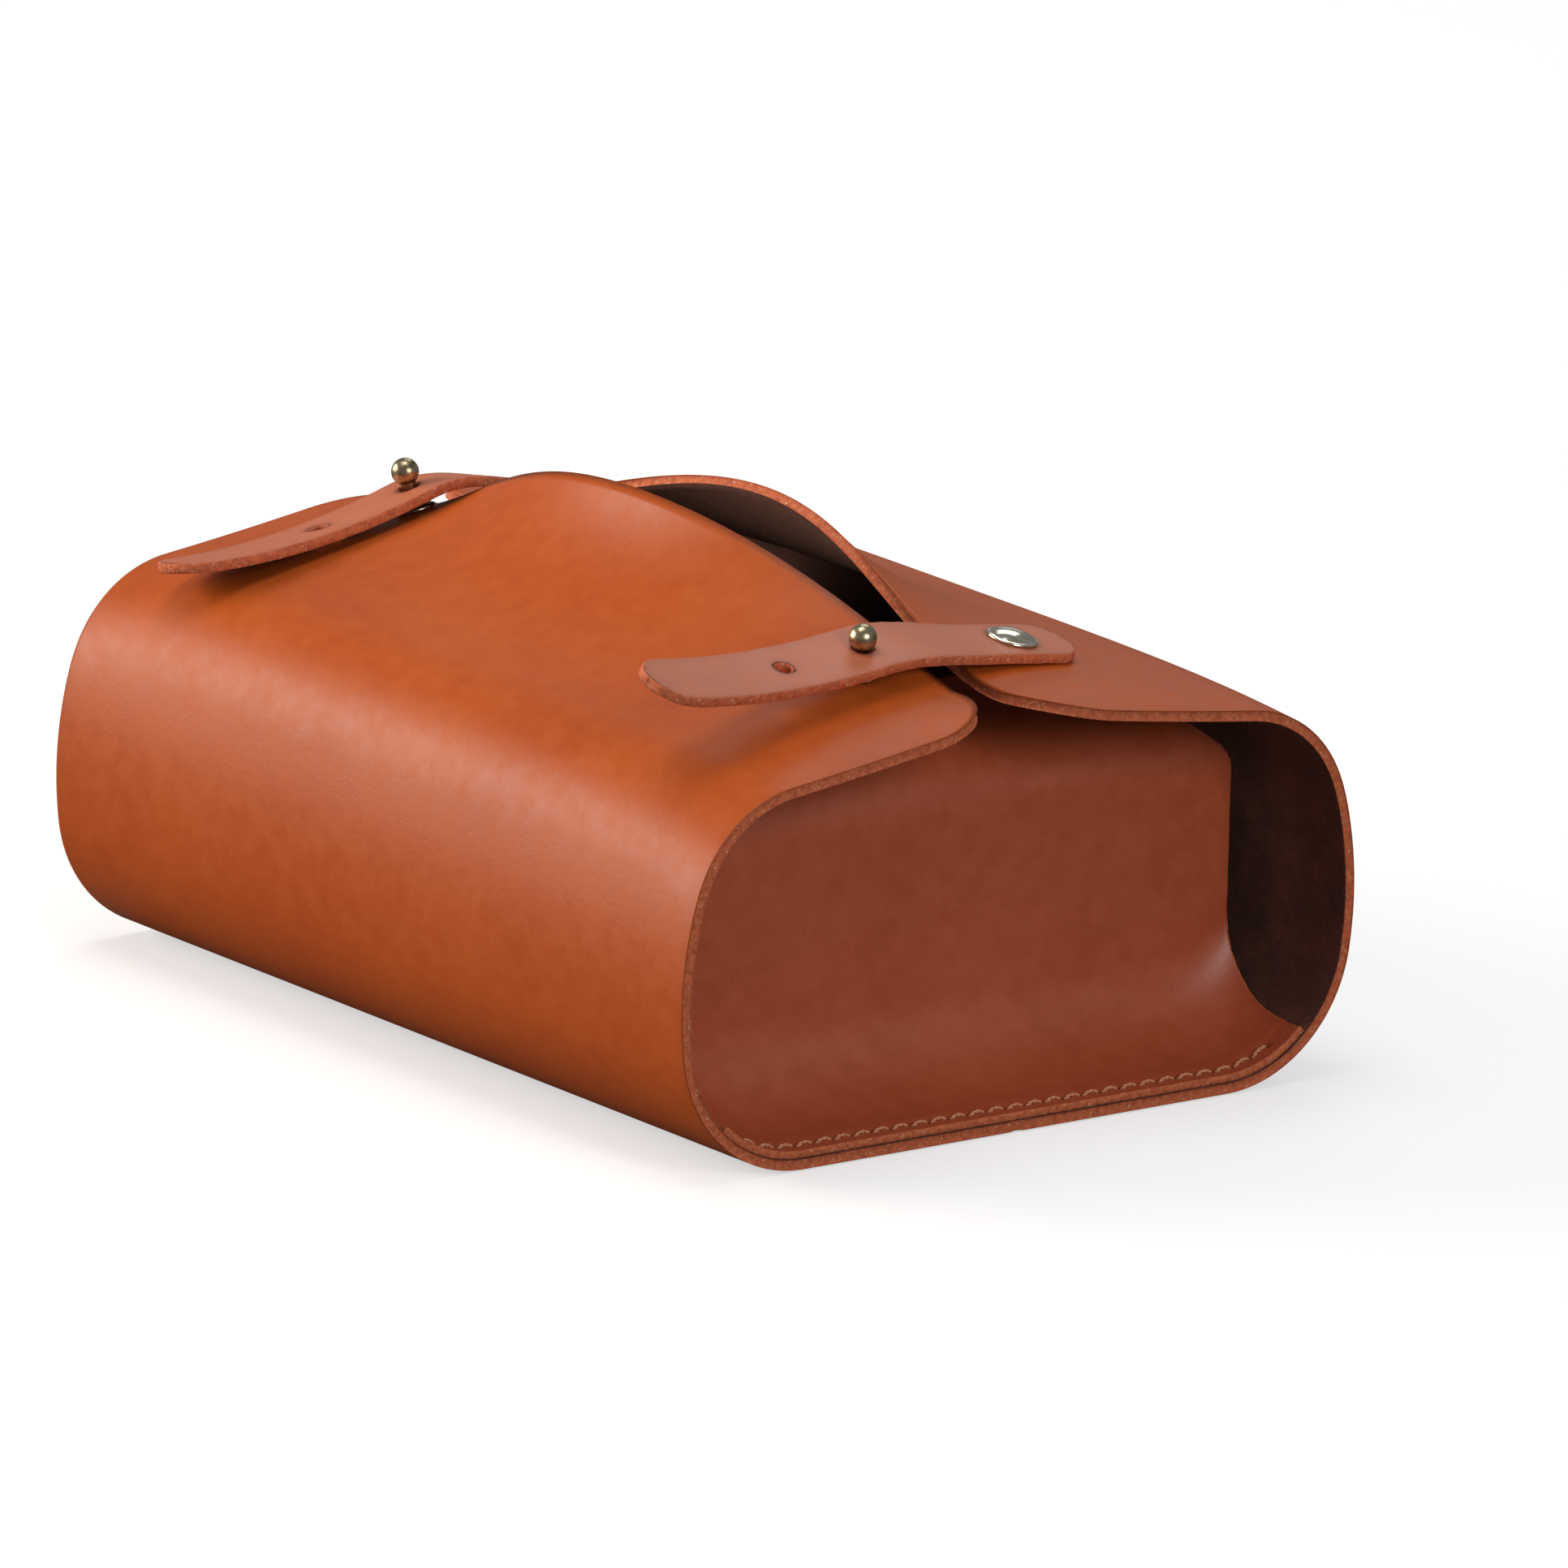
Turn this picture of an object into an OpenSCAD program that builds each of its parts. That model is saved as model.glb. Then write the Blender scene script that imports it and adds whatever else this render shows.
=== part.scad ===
// Leather tissue box cover: one wrapped sheet, two stitched end panels,
// and two straps that button over ball studs across the top opening.
// Origin at the centre of the underside, +X along the length, +Z up.

/* [Wrap] */
// Length of the cover, end edge to end edge
cover_length = 180; // [150:1:240]
// Thickness of the wrap leather
wrap_t = 1.8; // [1.2:0.1:2.4]
// Flat width of the bottom between its two bends
bottom_flat = 89; // [76:1:120]
// Outer radius of the bend from the bottom into a wall
bottom_r = 25.5; // [22:0.5:30]
// Turn of the bottom bend
bottom_turn = 82; // [78:1:84]
// Outer radius of the gently bulging wall
wall_r = 67; // [60:1:80]
// Turn of the wall
wall_turn = 24; // [22:1:26]

/* [Flaps] */
// Outer radius of the shoulder that turns a wall into its flap
shoulder_r = 23; // [20:0.5:26]
// Turn of the shoulder
shoulder_turn = 67; // [65:0.5:69]
// Radius of the slight upward sweep of a flap towards its free edge
flap_sweep_r = 1000; // [600:50:2000]
// Length of the near flap along the leather, from the wall to its free edge
near_flap_l = 72.5; // [70:0.5:74]
// Width of the opening between the two flaps, at the ends
opening_w = 7; // [4:0.5:12]
// Radius of the flap corners
flap_corner_r = 15; // [10:1:18]
// Turn that lifts the near flap's edge at the middle of its length
near_crown = 19; // [15:0.5:21]
// Turn that lifts the far flap's edge at the middle of its length
far_crown = 16; // [13:0.5:18]
// Distance from the end edge at which the lift of the near edge has died away
near_crown_inset = 16; // [10:1:26]
// Distance from the end edge at which the lift of the far edge has died away
far_crown_inset = 10; // [8:1:24]
// Turn by which the near flap bulges up at its shoulder
near_bulge = 7; // [0:0.5:10]
// Turn by which the far flap bulges up at its shoulder
far_bulge = 6.5; // [0:0.5:10]
// Gap at the fold line between a wall and its flap
fold_gap = 0.3; // [0.2:0.05:0.5]

/* [End panels] */
// Width of an end panel as cut, along the seam
panel_w = 123.3; // [100:0.1:124]
// Thickness of the end panel leather
panel_t = 1.4; // [1:0.1:1.8]
// Length of the stitched foot, from the end edge inwards
foot_l = 5; // [4.5:0.5:8]
// Radius of the visible face where the foot turns up into the panel
scoop_r = 15.5; // [12:0.5:18]
// Height at which the panel starts to bend inwards
tuck_z = 50; // [44:0.5:51]
// Outer radius of the inward bend
tuck_r = 12; // [10:0.5:13]
// Turn of the inward bend
tuck_turn = 76; // [70:1:80]
// Length of the flat part of the tuck tab
tab_l = 17; // [10:1:20]
// Width of the tuck tab
tab_w = 96; // [80:1:98]
// Radius of the corners of the tuck tab
tab_corner_r = 13; // [8:1:16]
// Clearance of the moving panel over the leather below it
panel_gap = 0.3; // [0.2:0.05:0.6]

/* [Seam] */
// Distance of the seam from the end edge
seam_inset = 3; // [2.5:0.1:4]
// Pitch of the stitches
stitch_pitch = 4; // [3:0.25:6]
// Length of one stitch
stitch_length = 3; // [2:0.1:3.5]
// Thickness of the thread
thread_d = 0.8; // [0.5:0.05:1]
// Distance of the last stitch from the side of the panel, along the seam
seam_margin = 4; // [2:0.5:8]

/* [Straps] */
// Distance of each rivet from the end edge
rivet_inset = 29; // [26:0.5:35]
// Distance of each stud from the end edge
stud_inset = 26.5; // [24:0.5:32]
// Width of a strap
strap_w = 14; // [10:0.5:16]
// Thickness of the strap leather
strap_t = 1.8; // [1.2:0.1:2.2]
// Length of the strap from the rivet to its riveted end
strap_root_l = 12; // [7:0.5:13]
// Length from the rivet to the line where the strap starts to lift
strap_flex_l = 7.5; // [6:0.5:9]
// Length of the tail beyond the stud
strap_tail_l = 48; // [42:1:54]
// Dip of the front strap where it passes its stud
front_dip = 5; // [2:0.5:8]
// Dip of the rear strap where it passes its stud
rear_dip = 20; // [14:0.5:22]
// Upward bend of the front strap's tail
front_tail_bend = 15; // [4:0.5:18]
// Upward bend of the rear strap's tail
rear_tail_bend = 21; // [14:0.5:24]
// Share of the near flap's slope that the rear strap follows at its stud
rear_twist = 0.65; // [0.5:0.05:1]
// Radius of the corners at the tail
strap_tail_r = 6.5; // [3:0.5:7]
// Radius of the corners at the riveted end
strap_root_r = 5.5; // [2:0.5:7]
// Diameter of the punched stud holes
hole_d = 3.4; // [3:0.1:4.2]
// Spacing between the two stud holes
hole_pitch = 18; // [14:0.5:22]
// Clearance of the riveted strap over the far flap
strap_gap = 0.4; // [0.2:0.05:0.6]
// Height of the front strap over the near flap at its stud
front_lift = 3.4; // [3.2:0.1:4]
// Height of the rear strap over the near flap at its stud
rear_lift = 2.7; // [2.5:0.1:3.2]

/* [Studs] */
// Diameter of the ball of a stud
ball_d = 4.8; // [4.4:0.1:6]
// Diameter of the neck
neck_d = 2.6; // [2.2:0.1:2.8]
// Diameter of the flange on the flap
flange_d = 7; // [6:0.1:8]
// Thickness of the flange
flange_t = 0.8; // [0.6:0.1:1]
// Distance of a stud from the free edge of the near flap
stud_edge = 10; // [8:0.5:12]
// Diameter of the backing screw's shank
stud_screw_d = 1.6; // [1.4:0.1:1.8]
// Diameter of the backing screw's head
stud_head_d = 7; // [6:0.1:8]
// Thickness of the backing screw's head
stud_head_t = 1.2; // [0.8:0.1:1.6]

/* [Rivets] */
// Diameter of the rivet cap
cap_d = 9; // [8:0.1:10]
// Height of the domed cap
cap_h = 1.7; // [1.4:0.1:2.2]
// Height of the straight rim of the cap
cap_rim_h = 0.5; // [0.4:0.1:0.8]
// Diameter of the rivet post
post_d = 3; // [2.4:0.1:3.4]
// Distance of a rivet from the free edge of the far flap
rivet_edge = 13; // [12:0.5:16]

/* [Hidden] */

$fn = 96;

// Overrun of a cut past the face that it opens
cut = 1;
// Clearance of a shank or neck in its punched hole
hole_gap = 0.1;
// Clearance between stacked flat faces
seat_gap = 0.05;
// Clearance between a flat metal face and the curved leather of a flap
curve_gap = 0.3;
// Clearance of the ball above the rim of its hole
ball_gap = 0.3;

end_x = cover_length / 2;
bottom_half = bottom_flat / 2;
rivet_x = end_x - rivet_inset;
stud_x = end_x - stud_inset;
quarter = 90;

wrap_colour = "#BE6034";
panel_colour = "#843C2A";
strap_colour = "#BC735C";
thread_colour = "#CD8C69";
metal_colour = "#B9AE93";

// A point on the outline is [y, z, heading], with its heading from +Y towards +Z
function turn_on(p, r, a) = [
    p[0] + r * (sin(p[2] + a) - sin(p[2])),
    p[1] + r * (cos(p[2]) - cos(p[2] + a)),
    p[2] + a];
function centre_of(p, r) = [p[0] - r * sin(p[2]), p[1] + r * cos(p[2])];
function arc_l(r, a) = r * a * PI / 180;
function arc_turn(r, l) = l / r * 180 / PI;

bend_start = [bottom_half, 0, 0];
wall_start = turn_on(bend_start, bottom_r, bottom_turn);
fold_start = turn_on(wall_start, wall_r, wall_turn);
shoulder_end = turn_on(fold_start, shoulder_r, shoulder_turn);
shoulder_l = arc_l(shoulder_r, shoulder_turn);

// The flap's outline at the ends, at distance s from the fold line
function flap_outline(s) = s < shoulder_l
    ? turn_on(fold_start, shoulder_r, arc_turn(shoulder_r, s))
    : turn_on(shoulder_end, -flap_sweep_r, -arc_turn(flap_sweep_r, s - shoulder_l));

// Length along the leather of a flap whose free edge lies at a distance y from the middle line
function flap_length(y) = shoulder_l + arc_l(flap_sweep_r, shoulder_end[2] - 2 * quarter
    + asin(sin(shoulder_end[2]) + (shoulder_end[0] - y) / flap_sweep_r));
far_flap_l = flap_length(opening_w - flap_outline(near_flap_l)[0]);

// A flap is [side, length, turn of its edge, reach of the turn, power of the turn, bulge]
near_crown_power = 1.25;
far_crown_power = 2.1;
bulge_power = 4;
near_side = [-1, near_flap_l, near_crown, end_x - near_crown_inset, near_crown_power, near_bulge];
far_side = [1, far_flap_l, far_crown, end_x - far_crown_inset, far_crown_power, far_bulge];
function crown_turn(x, f) = abs(x) < f[3] ? f[2] * pow(1 - pow(x / f[3], 2), f[4]) : 0;
function bulge_turn(x, f) = abs(x) < end_x ? f[5] * (1 - pow(abs(x) / end_x, bulge_power)) : 0;
function edge_share(s, f) = max(0, (s - shoulder_l) / (f[1] - shoulder_l));

// A point of a flap's outer face: it bulges at the shoulder and passes into its crown
function flap_point(x, s, f) =
    let (p = flap_outline(s), dy = p[0] - fold_start[0], dz = p[1] - fold_start[1],
         a = bulge_turn(x, f) + (crown_turn(x, f) - bulge_turn(x, f)) * pow(edge_share(s, f), 2))
    [x, f[0] * (fold_start[0] + dy * cos(a) + dz * sin(a)),
     fold_start[1] - dy * sin(a) + dz * cos(a)];

unit_step = 0.5;
function unit(v) = v / norm(v);
function flap_normal(x, s, f) =
    let (along = flap_point(x + unit_step, s, f) - flap_point(x - unit_step, s, f),
         across = flap_point(x, s + unit_step, f) - flap_point(x, max(s - unit_step, 0), f))
    unit(f[0] * cross(across, along));

// Stations along a flap: even steps between the corners, then the corner's arc
flap_steps = 26;
corner_steps = 6;
flap_rows = 15;
corner_x = end_x - flap_corner_r;
flap_stations = concat(
    [for (i = [0:corner_steps - 1]) -corner_x - flap_corner_r * cos(quarter * i / corner_steps)],
    [for (i = [0:flap_steps]) -corner_x + 2 * corner_x * i / flap_steps],
    [for (i = [1:corner_steps]) corner_x + flap_corner_r * sin(quarter * i / corner_steps)]);
function corner_cut(x) = abs(x) <= corner_x ? 0
    : flap_corner_r - sqrt(max(0, pow(flap_corner_r, 2) - pow(abs(x) - corner_x, 2)));

// A closed sheet between two grids of points, one row of the grid per station
module sheet(outer, inner) {
    n = len(outer);
    m = len(outer[0]);
    size = n * m;
    pts = concat([for (row = outer) each row], [for (row = inner) each row]);
    function quad(a, b, c, d) = [[a, b, c], [a, c, d]];
    top = [for (i = [0:n - 2]) for (j = [0:m - 2])
        each quad(i * m + j, i * m + j + 1, (i + 1) * m + j + 1, (i + 1) * m + j)];
    low = [for (i = [0:n - 2]) for (j = [0:m - 2])
        each quad(size + i * m + j, size + (i + 1) * m + j,
                  size + (i + 1) * m + j + 1, size + i * m + j + 1)];
    first = [for (j = [0:m - 2]) each quad(j, size + j, size + j + 1, j + 1)];
    last = [for (j = [0:m - 2])
        each quad((n - 1) * m + j, (n - 1) * m + j + 1,
                  size + (n - 1) * m + j + 1, size + (n - 1) * m + j)];
    left = [for (i = [0:n - 2]) each quad(i * m, (i + 1) * m, size + (i + 1) * m, size + i * m)];
    right = [for (i = [0:n - 2])
        each quad(i * m + m - 1, size + i * m + m - 1,
                  size + (i + 1) * m + m - 1, (i + 1) * m + m - 1)];
    polyhedron(pts, concat(top, low, first, last, left, right));
}

// Places children on a flap's outer face, with +Z along the leather's normal
module on_flap(x, s, f) {
    n = flap_normal(x, s, f);
    translate(flap_point(x, s, f)) rotate([0, acos(n[2]), atan2(n[1], n[0])]) children();
}

module flap_sheet(f) {
    rows = [for (x = flap_stations)
        [for (j = [0:flap_rows]) fold_gap + (f[1] - corner_cut(x) - fold_gap) * j / flap_rows]];
    outer = [for (i = [0:len(flap_stations) - 1])
        [for (s = rows[i]) flap_point(flap_stations[i], s, f)]];
    inner = [for (i = [0:len(flap_stations) - 1])
        [for (j = [0:flap_rows])
            outer[i][j] - wrap_t * flap_normal(flap_stations[i], rows[i][j], f)]];
    if (f[0] < 0) sheet(outer, inner);
    else sheet(inner, outer);
}

stud_s = near_flap_l - stud_edge;
rivet_s = far_flap_l - rivet_edge;

module at_stud() { on_flap(stud_x, stud_s, near_side) children(); }
module at_rivet() { on_flap(rivet_x, rivet_s, far_side) children(); }
module rear() { mirror([1, 0, 0]) children(); }
module both_ends() { children(); rear() children(); }

module near_flap() {
    color(wrap_colour) difference() {
        flap_sheet(near_side);
        both_ends() at_stud() translate([0, 0, -wrap_t - cut])
            cylinder(d = stud_screw_d + 2 * hole_gap, h = wrap_t + 2 * cut);
    }
}

module far_flap() {
    color(wrap_colour) difference() {
        flap_sheet(far_side);
        both_ends() at_rivet() translate([0, 0, -wrap_t - cut])
            cylinder(d = post_d + 2 * hole_gap, h = wrap_t + 2 * cut);
    }
}

// Points of the wrap's section at a depth inside its outer face, from a bend's start outwards
bend_steps = 28;
wall_steps = 10;
function inside(p, depth) = [p[0] - depth * sin(p[2]), p[1] + depth * cos(p[2])];
function bend_run(depth) = [for (i = [0:bend_steps])
    inside(turn_on(bend_start, bottom_r, bottom_turn * i / bend_steps), depth)];
function wall_run(depth) = [for (i = [1:wall_steps])
    inside(turn_on(wall_start, wall_r, wall_turn * i / wall_steps), depth)];
function both_sides(run) = concat([for (i = [len(run) - 1:-1:0]) [-run[i][0], run[i][1]]], run);

// Leather between an outer and an inner run, along a length l from x0
module bent_leather(outer, inner, x0, l) {
    back = both_sides(inner);
    translate([x0, 0, 0]) rotate([90, 0, 90]) linear_extrude(l)
        polygon(concat(both_sides(outer), [for (i = [len(back) - 1:-1:0]) back[i]]));
}

module base_wrap() {
    color(wrap_colour) bent_leather(concat(bend_run(0), wall_run(0)),
                                    concat(bend_run(wrap_t), wall_run(wrap_t)), -end_x, cover_length);
}

// Place of the seam line at a distance l along the foot from the middle, as [y, z, turn]
stack_t = wrap_t + panel_t;
foot_r = bottom_r - stack_t;
function seam_place(l) = abs(l) < bottom_half ? [l, stack_t, 0]
    : let (a = arc_turn(foot_r, abs(l) - bottom_half))
    [sign(l) * (bottom_half + foot_r * sin(a)), bottom_r - foot_r * cos(a), sign(l) * a];
panel_half = seam_place(panel_w / 2)[0];

module panel_foot() {
    color(panel_colour) intersection() {
        bent_leather(bend_run(wrap_t), bend_run(stack_t), end_x - foot_l, foot_l);
        translate([0, -panel_half, 0]) cube([cover_length, 2 * panel_half, bottom_r]);
    }
}

// Height of the foot's upper face at a distance y from the middle
function foot_top(y) = abs(y) < bottom_half ? stack_t
    : bottom_r - sqrt(pow(foot_r, 2) - pow(abs(y) - bottom_half, 2));

fold_x = end_x - foot_l - panel_gap;
face_x = fold_x - scoop_r;
scoop_rows = 9;
rise_rows = 3;
tuck_rows = 6;
tab_rows = 6;
panel_cols = 20;

// Half the panel's width at a distance u beyond the start of the inward bend
tuck_l = arc_l(tuck_r, tuck_turn);
tip_u = tuck_l + tab_l;
function half_w(u) = u < 0 ? panel_half
    : u < tuck_l ? tab_w / 2 + (panel_half - tab_w / 2) / 2 * (1 + cos(2 * quarter * u / tuck_l))
    : u < tip_u - tab_corner_r ? tab_w / 2
    : tab_w / 2 - tab_corner_r
      + sqrt(max(0, pow(tab_corner_r, 2) - pow(u - tip_u + tab_corner_r, 2)));

// Points of the visible face of a panel, with w from -1 to 1 across its width
function scoop_point(a, w) = let (y = w * panel_half)
    [fold_x - scoop_r * sin(a), y, foot_top(y) + panel_gap + scoop_r * (1 - cos(a))];
function rise_point(f, w) = let (p = scoop_point(quarter, w)) [p[0], p[1], p[2] + f * (tuck_z - p[2])];
function tuck_point(a, w) = [face_x - tuck_r * (1 - cos(a)),
    w * half_w(arc_l(tuck_r, a)), tuck_z + tuck_r * sin(a)];
function tab_point(l, w) = let (p = tuck_point(tuck_turn, w))
    [p[0] - l * sin(tuck_turn), w * half_w(tuck_l + l), p[2] + l * cos(tuck_turn)];

panel_across = [for (j = [0:panel_cols]) 2 * j / panel_cols - 1];
upright_rows = concat(
    [for (i = [0:scoop_rows]) [for (w = panel_across) scoop_point(quarter * i / scoop_rows, w)]],
    [for (i = [1:rise_rows]) [for (w = panel_across) rise_point(i / rise_rows, w)]]);
upright_normals = concat(
    [for (i = [0:scoop_rows]) [for (w = panel_across)
        scoop_normal(quarter * i / scoop_rows, w * panel_half)]],
    [for (i = [1:rise_rows]) [for (w = panel_across) [1, 0, 0]]]);
tab_grid = concat(
    [for (i = [0:tuck_rows]) [for (w = panel_across) tuck_point(tuck_turn * i / tuck_rows, w)]],
    [for (i = [1:tab_rows]) [for (w = panel_across)
        tab_point(tab_l * sin(quarter * i / tab_rows), w)]]);
tab_normals = concat(
    [for (i = [0:tuck_rows]) let (a = tuck_turn * i / tuck_rows)
        [for (w = panel_across) [cos(a), 0, sin(a)]]],
    [for (i = [1:tab_rows]) [for (w = panel_across) [cos(tuck_turn), 0, sin(tuck_turn)]]]);

// Normal of the scoop's visible face, which leans with the bottom bend at the sides
function scoop_normal(a, y) = let (
    lean = abs(y) < bottom_half ? 0 : asin((abs(y) - bottom_half) / foot_r) * cos(a))
    [sin(a) * cos(lean), -sign(y) * sin(lean), cos(a) * cos(lean)];

function backed(grid, normals, t) = [for (i = [0:len(grid) - 1])
    [for (j = [0:len(grid[0]) - 1]) grid[i][j] - t * normals[i][j]]];

module end_panel() {
    color(panel_colour) sheet(upright_rows, backed(upright_rows, upright_normals, panel_t));
}

module panel_tab() { color(panel_colour) sheet(tab_grid, backed(tab_grid, tab_normals, panel_t)); }

// Stitches along the seam, each a flat-bottomed bar lying on the foot
stitches = floor((panel_w - 2 * seam_margin) / stitch_pitch);

module seam_thread() {
    color(thread_colour) for (i = [0:stitches - 1]) {
        p = seam_place((i - (stitches - 1) / 2) * stitch_pitch);
        translate([end_x - seam_inset, p[0], p[1]]) rotate([p[2], 0, 0])
            translate([0, 0, seat_gap + stitch_length * stitch_length / (8 * foot_r)])
                rotate([90, 0, 0]) linear_extrude(stitch_length, center = true)
                    intersection() {
                        circle(d = thread_d, $fn = 24);
                        translate([-thread_d / 2, 0]) square([thread_d, thread_d / 2]);
                    }
    }
}

// Tilt of the leather towards the end, and its slope up towards the near side
function tilt_of(n) = atan2(n[0], n[2]);
rivet_n = flap_normal(rivet_x, rivet_s, far_side);
stud_n = flap_normal(stud_x, stud_s, near_side);
root_slope = asin(rivet_n[1]);

// The strap's under face runs from the rivet to the stud, at distances l measured along Y.
// A band is [height at its stud, dip, bend of its tail, share of the near flap's slope]
front_band = [front_lift, front_dip, front_tail_bend, 1];
rear_band = [rear_lift, rear_dip, rear_tail_bend, rear_twist];
strap_base = flap_point(rivet_x, rivet_s, far_side) + strap_gap * rivet_n;
function strap_mid(b) = flap_point(stud_x, stud_s, near_side) + b[0] * stud_n;
function stud_l(b) = strap_base[1] - strap_mid(b)[1];
function bridge_l(b) = stud_l(b) - strap_flex_l;
function strap_l(b) = stud_l(b) + strap_tail_l;
flex_z = strap_base[2] + strap_flex_l * tan(root_slope);

// Middle of the under face as [y, z, slope]: straight, then an S over the opening, then the tail
function bridge_z(q, b) = flex_z * (2 * pow(q, 3) - 3 * pow(q, 2) + 1)
    + bridge_l(b) * tan(root_slope) * (pow(q, 3) - 2 * pow(q, 2) + q)
    + strap_mid(b)[2] * (3 * pow(q, 2) - 2 * pow(q, 3))
    - bridge_l(b) * tan(b[1]) * (pow(q, 3) - pow(q, 2));
function bridge_rise(q, b) = (strap_mid(b)[2] - flex_z) * 6 * (q - pow(q, 2)) / bridge_l(b)
    + tan(root_slope) * (3 * pow(q, 2) - 4 * q + 1)
    - tan(b[1]) * (3 * pow(q, 2) - 2 * q);
function strap_middle(l, b) = let (q = (l - strap_flex_l) / bridge_l(b), t = l - stud_l(b),
    dip = tan(b[1]), curl = tan(b[2]) / strap_tail_l)
    l < strap_flex_l ? [strap_base[1] - l, strap_base[2] + l * tan(root_slope), root_slope]
    : l < stud_l(b) ? [strap_base[1] - l, bridge_z(q, b), atan(bridge_rise(q, b))]
    : [strap_base[1] - l, strap_mid(b)[2] - dip * t + curl * pow(t, 2) / 2, atan(curl * t - dip)];

// The strap twists between the rivet and the stud, from one flap's slope to the other's
function strap_tilt(l, b) = tilt_of(rivet_n) + (b[3] * tilt_of(stud_n) - tilt_of(rivet_n))
    * min(1, max(0, (l - strap_flex_l) / bridge_l(b)));
function strap_point(l, w, b) = let (m = strap_middle(l, b), a = strap_tilt(l, b))
    [strap_base[0] + (strap_mid(b)[0] - strap_base[0]) * l / stud_l(b) + w * cos(a),
     m[0], m[1] - w * sin(a)];
function strap_normal(l, b) = let (m = strap_middle(l, b), a = strap_tilt(l, b))
    [sin(a) * cos(m[2]), sin(m[2]), cos(a) * cos(m[2])];

// Half the strap's width at a length l, with rounded corners at both ends
function round_in(d, r) = d < r ? r - sqrt(max(0, pow(r, 2) - pow(r - d, 2))) : 0;
function strap_half_w(l, b) = strap_w / 2 - round_in(strap_root_l + l, strap_root_r)
    - round_in(strap_l(b) - l, strap_tail_r);
strap_across = [-1, -0.5, 0, 0.5, 1];
corner_parts = 8;
function corner_share(i) = 1 - cos(quarter * i / corner_parts);
root_lengths = concat(
    [for (i = [0:corner_parts]) -strap_root_l + strap_root_r * corner_share(i)],
    [0, strap_flex_l]);
strap_parts = 16;
function strap_lengths(b) = let (from = strap_flex_l + fold_gap, to = strap_l(b) - strap_tail_r)
    concat([for (i = [0:strap_parts]) from + (to - from) * i / strap_parts],
           [for (i = [corner_parts - 1:-1:0]) strap_l(b) - strap_tail_r * corner_share(i)]);

module strap_sheet(lengths, b) {
    under = [for (l = lengths) [for (w = strap_across) strap_point(l, w * strap_half_w(l, b), b)]];
    over = [for (i = [0:len(lengths) - 1])
        [for (p = under[i]) p + strap_t * strap_normal(lengths[i], b)]];
    sheet(over, under);
}

// Height of the ball's centre above the flap, with the ball just clear of its hole's rim
ball_seat = sqrt(pow(ball_d / 2, 2) - pow(hole_d / 2, 2));
ball_h = max(front_lift, rear_lift) + strap_t + ball_seat + ball_gap;

module strap(b) {
    spare_l = stud_l(b) + hole_pitch;
    color(strap_colour) difference() {
        strap_sheet(strap_lengths(b), b);
        at_stud() cylinder(d = hole_d, h = ball_h + strap_t);
        translate(strap_point(spare_l, 0, b))
            rotate([0, strap_tilt(spare_l, b), 0]) rotate([-strap_middle(spare_l, b)[2], 0, 0])
                translate([0, 0, -cut]) cylinder(d = hole_d, h = strap_t + 2 * cut);
    }
}

module strap_root(b) {
    color(strap_colour) difference() {
        strap_sheet(root_lengths, b);
        at_rivet() cylinder(d = post_d + 2 * hole_gap, h = strap_gap + strap_t + cut);
    }
}

// Domed cap with a straight rim, its flat face at the origin
module dome(d, h, rim) {
    rise = h - rim;
    r = (pow(d / 2, 2) + pow(rise, 2)) / (2 * rise);
    cylinder(d = d, h = rim);
    translate([0, 0, rim]) intersection() {
        translate([0, 0, rise - r]) sphere(r);
        cylinder(d = d, h = rise);
    }
}

cap_seat = strap_gap + strap_t + seat_gap;
cap_bore_h = cap_rim_h + hole_gap;
module rivet_cap() {
    color(metal_colour) at_rivet() translate([0, 0, cap_seat]) difference() {
        dome(cap_d, cap_h, cap_rim_h);
        translate([0, 0, -cut]) cylinder(d = post_d + hole_gap, h = cap_bore_h + cut);
    }
}

module rivet_post() {
    shank_h = wrap_t + curve_gap + cap_seat + cap_rim_h;
    color(metal_colour) at_rivet() translate([0, 0, -wrap_t - curve_gap]) {
        cylinder(d = post_d, h = shank_h);
        mirror([0, 0, 1]) dome(cap_d, cap_h, cap_rim_h);
    }
}

// Height above the flap at which the stud's threaded bore ends, inside the neck
stud_bore_h = ball_h - ball_d / 2;
module stud() {
    color(metal_colour) at_stud() difference() {
        union() {
            translate([0, 0, curve_gap]) cylinder(d = flange_d, h = flange_t);
            translate([0, 0, curve_gap]) cylinder(d = neck_d, h = ball_h - curve_gap);
            translate([0, 0, ball_h]) sphere(d = ball_d);
        }
        cylinder(d = stud_screw_d + hole_gap, h = stud_bore_h);
    }
}

// Backing screw with a flat slotted head inside the flap
slot_w = 0.8;
slot_h = 0.6;
module stud_screw() {
    screw_l = wrap_t + curve_gap + stud_bore_h - stud_screw_d / 2;
    color(metal_colour) at_stud() translate([0, 0, -wrap_t - curve_gap]) difference() {
        union() {
            cylinder(d = stud_screw_d, h = screw_l);
            translate([0, 0, -stud_head_t]) cylinder(d = stud_head_d, h = stud_head_t);
        }
        translate([-stud_head_d / 2 - cut, -slot_w / 2, -stud_head_t - cut])
            cube([stud_head_d + 2 * cut, slot_w, slot_h + cut]);
    }
}

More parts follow.
